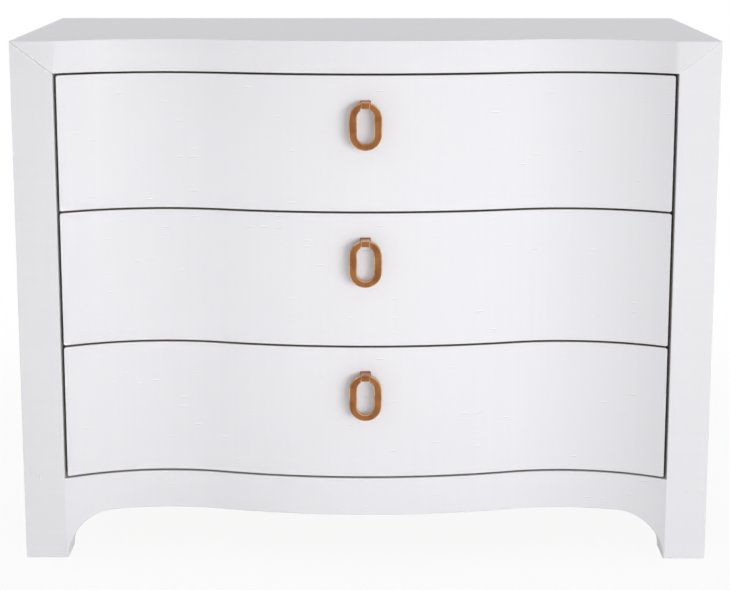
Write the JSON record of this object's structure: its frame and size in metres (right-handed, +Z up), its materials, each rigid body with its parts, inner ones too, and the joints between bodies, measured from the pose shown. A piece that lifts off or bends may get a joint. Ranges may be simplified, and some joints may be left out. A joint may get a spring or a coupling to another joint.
{
  "type": "chest of drawers",
  "caption": "Serpentine-fronted chest of drawers wrapped in white linen, with bracket feet, ring pulls and drawers on telescopic slides.",
  "frame": {"origin": "on the floor, under the middle of the whole chest with its pulls", "axes": "+X across the front, to the right as one faces it; +Y from the front to the back; +Z up"},
  "size_m": [1.067, 0.527, 0.813],
  "materials": {
    "wrapped_board": "board wrapped in white linen under a satin lacquer",
    "case_wood": "sanded board, clear sealed",
    "back_board": "white-faced hardboard",
    "drawer_wood": "clear satin lacquered poplar",
    "drawer_floor": "clear satin lacquered plywood",
    "pull_brass": "brushed copper-toned brass",
    "slide_steel": "zinc-plated pressed steel",
    "screw_steel": "zinc-plated steel",
    "glide_plastic": "dark nylon"
  },
  "bodies": {
    "case": {"top_panel": "wrapped_board", "top_front_rail": "wrapped_board", "top_rear_rail": "case_wood", "top_dust_panel": "case_wood", "left_side_panel": "wrapped_board", "left_inner_panel": "case_wood", "left_front_post": "wrapped_board", "left_rear_post": "case_wood", "left_bottom_rail": "case_wood", "right_side_panel": "wrapped_board", "right_inner_panel": "case_wood", "right_front_post": "wrapped_board", "right_rear_post": "case_wood", "right_bottom_rail": "case_wood", "front_apron": "wrapped_board", "rear_apron": "case_wood", "bottom_panel": "case_wood", "corner_blocks": "case_wood", "lower_divider": "case_wood", "upper_divider": "case_wood", "back_panel": "back_board", "foot_glides": "glide_plastic", "lower_case_slides": "slide_steel", "middle_case_slides": "slide_steel", "upper_case_slides": "slide_steel"},
    "lower_extension": {"lower_centre_slides": "slide_steel"},
    "lower_drawer": {"lower_drawer_front": "wrapped_board", "lower_box_front": "drawer_wood", "lower_box_left_side": "drawer_wood", "lower_box_right_side": "drawer_wood", "lower_box_back": "drawer_wood", "lower_box_bottom": "drawer_floor", "lower_pull_screw": "screw_steel", "lower_drawer_slides": "slide_steel", "lower_pull_bracket": "pull_brass"},
    "lower_pull": {"lower_pull_ring": "pull_brass"},
    "middle_extension": {"middle_centre_slides": "slide_steel"},
    "middle_drawer": {"middle_drawer_front": "wrapped_board", "middle_box_front": "drawer_wood", "middle_box_left_side": "drawer_wood", "middle_box_right_side": "drawer_wood", "middle_box_back": "drawer_wood", "middle_box_bottom": "drawer_floor", "middle_pull_screw": "screw_steel", "middle_drawer_slides": "slide_steel", "middle_pull_bracket": "pull_brass"},
    "middle_pull": {"middle_pull_ring": "pull_brass"},
    "upper_extension": {"upper_centre_slides": "slide_steel"},
    "upper_drawer": {"upper_drawer_front": "wrapped_board", "upper_box_front": "drawer_wood", "upper_box_left_side": "drawer_wood", "upper_box_right_side": "drawer_wood", "upper_box_back": "drawer_wood", "upper_box_bottom": "drawer_floor", "upper_pull_screw": "screw_steel", "upper_drawer_slides": "slide_steel", "upper_pull_bracket": "pull_brass"},
    "upper_pull": {"upper_pull_ring": "pull_brass"}
  },
  "joints": [
    {"name": "lower_drawer_slide", "type": "slide", "parent": "case", "child": "lower_drawer", "axis": [0, -1, 0], "range_m": [0, 0.38]},
    {"name": "lower_extension_slide", "type": "slide", "parent": "case", "child": "lower_extension", "axis": [0, -1, 0], "range_m": [0, 0.19]},
    {"name": "lower_pull_swing", "type": "hinge", "parent": "lower_drawer", "child": "lower_pull", "pos_m": [0, -0.2585, 0.298], "axis": [-1, 0, 0], "range_deg": [-12, 95]},
    {"name": "middle_drawer_slide", "type": "slide", "parent": "case", "child": "middle_drawer", "axis": [0, -1, 0], "range_m": [0, 0.38]},
    {"name": "middle_extension_slide", "type": "slide", "parent": "case", "child": "middle_extension", "axis": [0, -1, 0], "range_m": [0, 0.19]},
    {"name": "middle_pull_swing", "type": "hinge", "parent": "middle_drawer", "child": "middle_pull", "pos_m": [0, -0.2585, 0.508], "axis": [-1, 0, 0], "range_deg": [-12, 95]},
    {"name": "upper_drawer_slide", "type": "slide", "parent": "case", "child": "upper_drawer", "axis": [0, -1, 0], "range_m": [0, 0.38]},
    {"name": "upper_extension_slide", "type": "slide", "parent": "case", "child": "upper_extension", "axis": [0, -1, 0], "range_m": [0, 0.19]},
    {"name": "upper_pull_swing", "type": "hinge", "parent": "upper_drawer", "child": "upper_pull", "pos_m": [0, -0.2585, 0.718], "axis": [-1, 0, 0], "range_deg": [-12, 95]}
  ],
  "couplings": [
    {"joint": "lower_extension_slide", "follows": "lower_drawer_slide", "ratio": 0.5},
    {"joint": "middle_extension_slide", "follows": "middle_drawer_slide", "ratio": 0.5},
    {"joint": "upper_extension_slide", "follows": "upper_drawer_slide", "ratio": 0.5}
  ]
}
